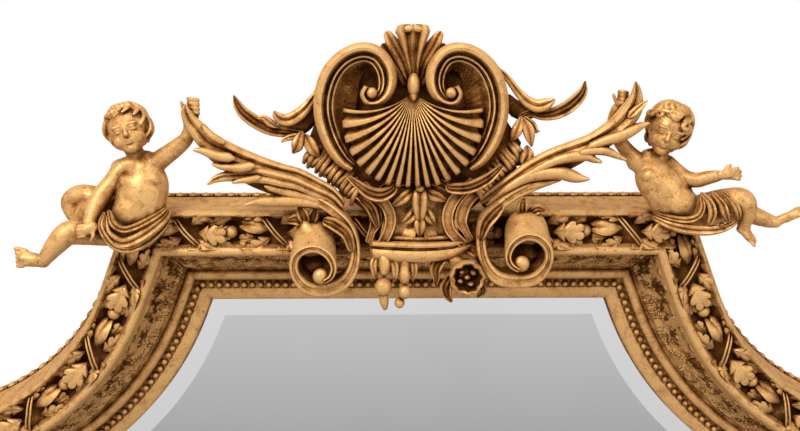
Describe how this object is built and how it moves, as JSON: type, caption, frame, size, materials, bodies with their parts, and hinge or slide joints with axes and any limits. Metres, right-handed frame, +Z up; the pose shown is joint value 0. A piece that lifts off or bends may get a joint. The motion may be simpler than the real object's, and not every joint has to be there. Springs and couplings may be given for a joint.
{
  "type": "trumeau mirror",
  "caption": "Tall carved and gilt wall mirror with hollow shoulders, a leaf garland moulding, a shell crest and seated figures.",
  "frame": {"origin": "middle of the lower back rim, on the plane of the wall", "axes": "+X to the viewer's right, +Y into the wall, +Z up"},
  "size_m": [1.3948, 0.1714, 2.0384],
  "materials": {
    "gilt_wood": "worn water gilding over carved wood, dark brown patina in the hollows",
    "mirror_plate": "silvered bevelled plate",
    "pine": "aged bare pine",
    "brass": "dull brass",
    "iron": "dark wrought iron"
  },
  "bodies": {
    "mirror": {"acanthus_spray_left": "gilt_wood", "acanthus_spray_right": "gilt_wood", "back_battens": "pine", "backboard_left": "pine", "backboard_right": "pine", "bellflower": "gilt_wood", "c_scroll_left": "gilt_wood", "c_scroll_right": "gilt_wood", "carcass_base": "gilt_wood", "carcass_shoulder_left": "gilt_wood", "carcass_shoulder_right": "gilt_wood", "carcass_stile_left": "gilt_wood", "carcass_stile_right": "gilt_wood", "carcass_top": "gilt_wood", "cartouche": "gilt_wood", "cherub_left": "gilt_wood", "cherub_left_drapery": "gilt_wood", "cherub_left_head": "gilt_wood", "cherub_right": "gilt_wood", "cherub_right_drapery": "gilt_wood", "cherub_right_head": "gilt_wood", "cornice_base": "gilt_wood", "cornice_shoulder_left": "gilt_wood", "cornice_shoulder_right": "gilt_wood", "cornice_stile_left": "gilt_wood", "cornice_stile_right": "gilt_wood", "cornice_top": "gilt_wood", "crest_backing": "gilt_wood", "crest_bracket": "iron", "crest_shelf": "gilt_wood", "garland_base": "gilt_wood", "garland_shoulder_left": "gilt_wood", "garland_shoulder_right": "gilt_wood", "garland_stile_left": "gilt_wood", "garland_stile_right": "gilt_wood", "garland_top": "gilt_wood", "glass_blocks": "pine", "hanger_strap_left": "brass", "hanger_strap_right": "brass", "husks_left": "gilt_wood", "husks_right": "gilt_wood", "mirror_glass": "mirror_plate", "palmette_finial": "gilt_wood", "pendant_buds": "gilt_wood", "rose": "gilt_wood", "shell": "gilt_wood", "side_scrolls": "gilt_wood", "sight_moulding_base": "gilt_wood", "sight_moulding_shoulder_left": "gilt_wood", "sight_moulding_shoulder_right": "gilt_wood", "sight_moulding_stile_left": "gilt_wood", "sight_moulding_stile_right": "gilt_wood", "sight_moulding_top": "gilt_wood", "tendril_left": "gilt_wood", "tendril_right": "gilt_wood", "volute_left": "gilt_wood", "volute_right": "gilt_wood", "wood_screws": "iron"},
    "ring_left": {"hanger_ring_left": "brass"},
    "ring_right": {"hanger_ring_right": "brass"}
  },
  "joints": [
    {"name": "ring_left_swing", "type": "hinge", "parent": "mirror", "child": "ring_left", "pos_m": [-0.64686, -0.0097, 1.33], "axis": [1, 0, 0], "range_deg": [0, 175]},
    {"name": "ring_right_swing", "type": "hinge", "parent": "mirror", "child": "ring_right", "pos_m": [0.64686, -0.0097, 1.33], "axis": [1, 0, 0], "range_deg": [0, 175]}
  ]
}
